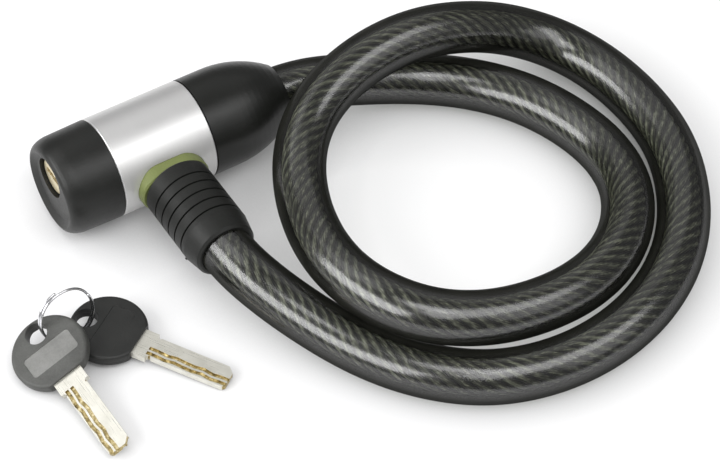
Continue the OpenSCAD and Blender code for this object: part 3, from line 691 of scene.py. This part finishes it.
def panel_cutter(side):
    """A low rounded block that presses the bow's bare panel into one face."""
    points = []
    x0, y0 = PANEL_FROM
    x1, y1 = PANEL_TO
    r = PANEL_CORNER
    for cx, cy, a0 in ((x1 - r, y1 - r, 0), (x0 + r, y1 - r, 90), (x0 + r, y0 + r, 180), (x1 - r, y0 + r, 270)):
        for step in range(CORNER_STEPS + 1):
            a = math.radians(a0 + 90 * step / CORNER_STEPS)
            points.append((cx + r * math.cos(a), cy + r * math.sin(a)))
    low, high = BOW_TOP - PANEL_DEPTH, BOW_TOP + 1.0
    z0, z1 = (low, high) if side > 0 else (-high, -low)
    bm = bmesh.new()
    base = [bm.verts.new(Vector((x, y, z0)) * MM) for x, y in points]
    roof = [bm.verts.new(Vector((x, y, z1)) * MM) for x, y in points]
    bm.faces.new(base[::-1])
    bm.faces.new(roof)
    for i in range(len(points)):
        j = (i + 1) % len(points)
        bm.faces.new((base[i], base[j], roof[j], roof[i]))
    mesh = bpy.data.meshes.new("panel_cutter")
    bm.to_mesh(mesh)
    bm.free()
    return link_mesh("panel_cutter", mesh, smooth=False)


def key_piece(name, node, place, bevel, material, cutters=()):
    """The CAD piece in its key's own axes, with its panel pressed in and its edges broken."""
    source = frame["nodes"][node]
    mesh = source.data.copy()
    mesh.transform(place.inverted() @ source.matrix_world)
    bm = bmesh.new()
    bm.from_mesh(mesh)
    bmesh.ops.remove_doubles(bm, verts=bm.verts, dist=0.002 * MM)
    bmesh.ops.dissolve_limit(bm, angle_limit=math.radians(1), verts=bm.verts, edges=bm.edges)
    bm.to_mesh(mesh)
    bm.free()
    mesh.materials.clear()
    obj = link_mesh(name, mesh, material)
    for cutter in cutters:
        cut = obj.modifiers.new("panel", "BOOLEAN")
        cut.operation = "DIFFERENCE"
        cut.solver = "EXACT"
        cut.object = cutter
    edge = obj.modifiers.new("edge", "BEVEL")
    edge.width = bevel * MM
    edge.segments = 2
    edge.limit_method = "ANGLE"
    edge.angle_limit = math.radians(32)
    flat = obj.modifiers.new("flat_faces", "WEIGHTED_NORMAL")
    flat.weight = 100
    flat.keep_sharp = True
    applied(obj)
    for cutter in cutters:
        bpy.data.objects.remove(cutter)
    obj.matrix_world = place
    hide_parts(node)
    return obj


for key, where, bow_look in (("key_a", KEY_A, PALE_BOW), ("key_b", KEY_B, MATERIALS["bow_plastic"])):
    place = placed(*where)
    blade = key_piece(key + "_blade_worn", key + "_blade", place, BLADE_BEVEL,
                      MATERIALS["blade_nickel"])
    bow = key_piece(key + "_bow_moulded", key + "_bow", place, BOW_BEVEL, bow_look,
                    [panel_cutter(1), panel_cutter(-1)])
    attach(blade, key)
    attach(bow, key)


# ---------------------------------------------------------------- floor, backdrop and light

# The floor lies a little low, so that nothing on it shares its plane
FLOOR_HALF, FLOOR_Z = 3.0, -0.0003
FLOOR_COLOR, FLOOR_GLOW, GLOW_REACH = (0.54, 0.54, 0.545, 1), 0.52, 25 * MM
# Name, azimuth, elevation, distance, size and watts
LAMPS = (
    ("left", -94, 32, 1.0, (1.3, 0.50), 9.6),
    ("top", 15, 58, 1.0, (1.3, 0.40), 4.0),
    ("over", -31, 71, 1.0, (0.5, 0.30), 1.5),
    ("front", 28, 34, 1.0, (0.5, 0.55), 0.7),
    ("back_right", 148, 50, 1.1, (1.0, 0.7), 0.8),
    ("back_left", -149, 58, 1.0, (0.5, 0.5), 0.9))


def floor_material():
    """White table: its colour shows plain to the camera and in reflections, and it keeps soft shadows."""
    g = Graph("floor_white")
    diffuse = g.add("ShaderNodeBsdfDiffuse", Color=FLOOR_COLOR)
    glow = g.add("ShaderNodeEmission", Color=(1, 1, 1, 1))
    path = g.add("ShaderNodeLightPath")
    seen = g.math("MAXIMUM", path.outputs["Is Camera Ray"], path.outputs["Is Glossy Ray"])
    # Painted shade: the glow dies away where pieces stand close over the table
    nearby = g.add("ShaderNodeAmbientOcclusion", samples=8, Distance=GLOW_REACH)
    shown = g.math("MULTIPLY", g.math("MULTIPLY", seen, FLOOR_GLOW), nearby.outputs["AO"])
    g.link(shown, glow.inputs["Strength"])
    both = g.add("ShaderNodeAddShader")
    g.link(diffuse.outputs[0], both.inputs[0])
    g.link(glow.outputs[0], both.inputs[1])
    return g.finish(both)


def add_floor():
    h = FLOOR_HALF
    mesh = mesh_from("floor", [(-h, -h, 0), (h, -h, 0), (h, h, 0), (-h, h, 0)], [(0, 1, 2, 3)])
    obj = link_mesh("floor", mesh, floor_material(), smooth=False)
    obj.location.z = FLOOR_Z


def add_world():
    """Even studio light: white to the camera, dimmer in reflections and on the object."""
    world = bpy.data.worlds.new("studio")
    bpy.context.scene.world = world
    world.use_nodes = True
    tree = world.node_tree
    tree.nodes.clear()
    out = tree.nodes.new("ShaderNodeOutputWorld")
    path = tree.nodes.new("ShaderNodeLightPath")
    last = None
    for strength, ray in ((0.22, None), (0.20, "Is Glossy Ray"), (1.0, "Is Camera Ray")):
        shade = tree.nodes.new("ShaderNodeBackground")
        shade.inputs["Color"].default_value = (1, 1, 1, 1)
        shade.inputs["Strength"].default_value = strength
        if ray is None:
            last = shade
            continue
        mix = tree.nodes.new("ShaderNodeMixShader")
        tree.links.new(path.outputs[ray], mix.inputs[0])
        tree.links.new(last.outputs[0], mix.inputs[1])
        tree.links.new(shade.outputs[0], mix.inputs[2])
        last = mix
    tree.links.new(last.outputs[0], out.inputs[0])


add_floor()
add_world()
for lamp in LAMPS:
    add_lamp(*lamp)
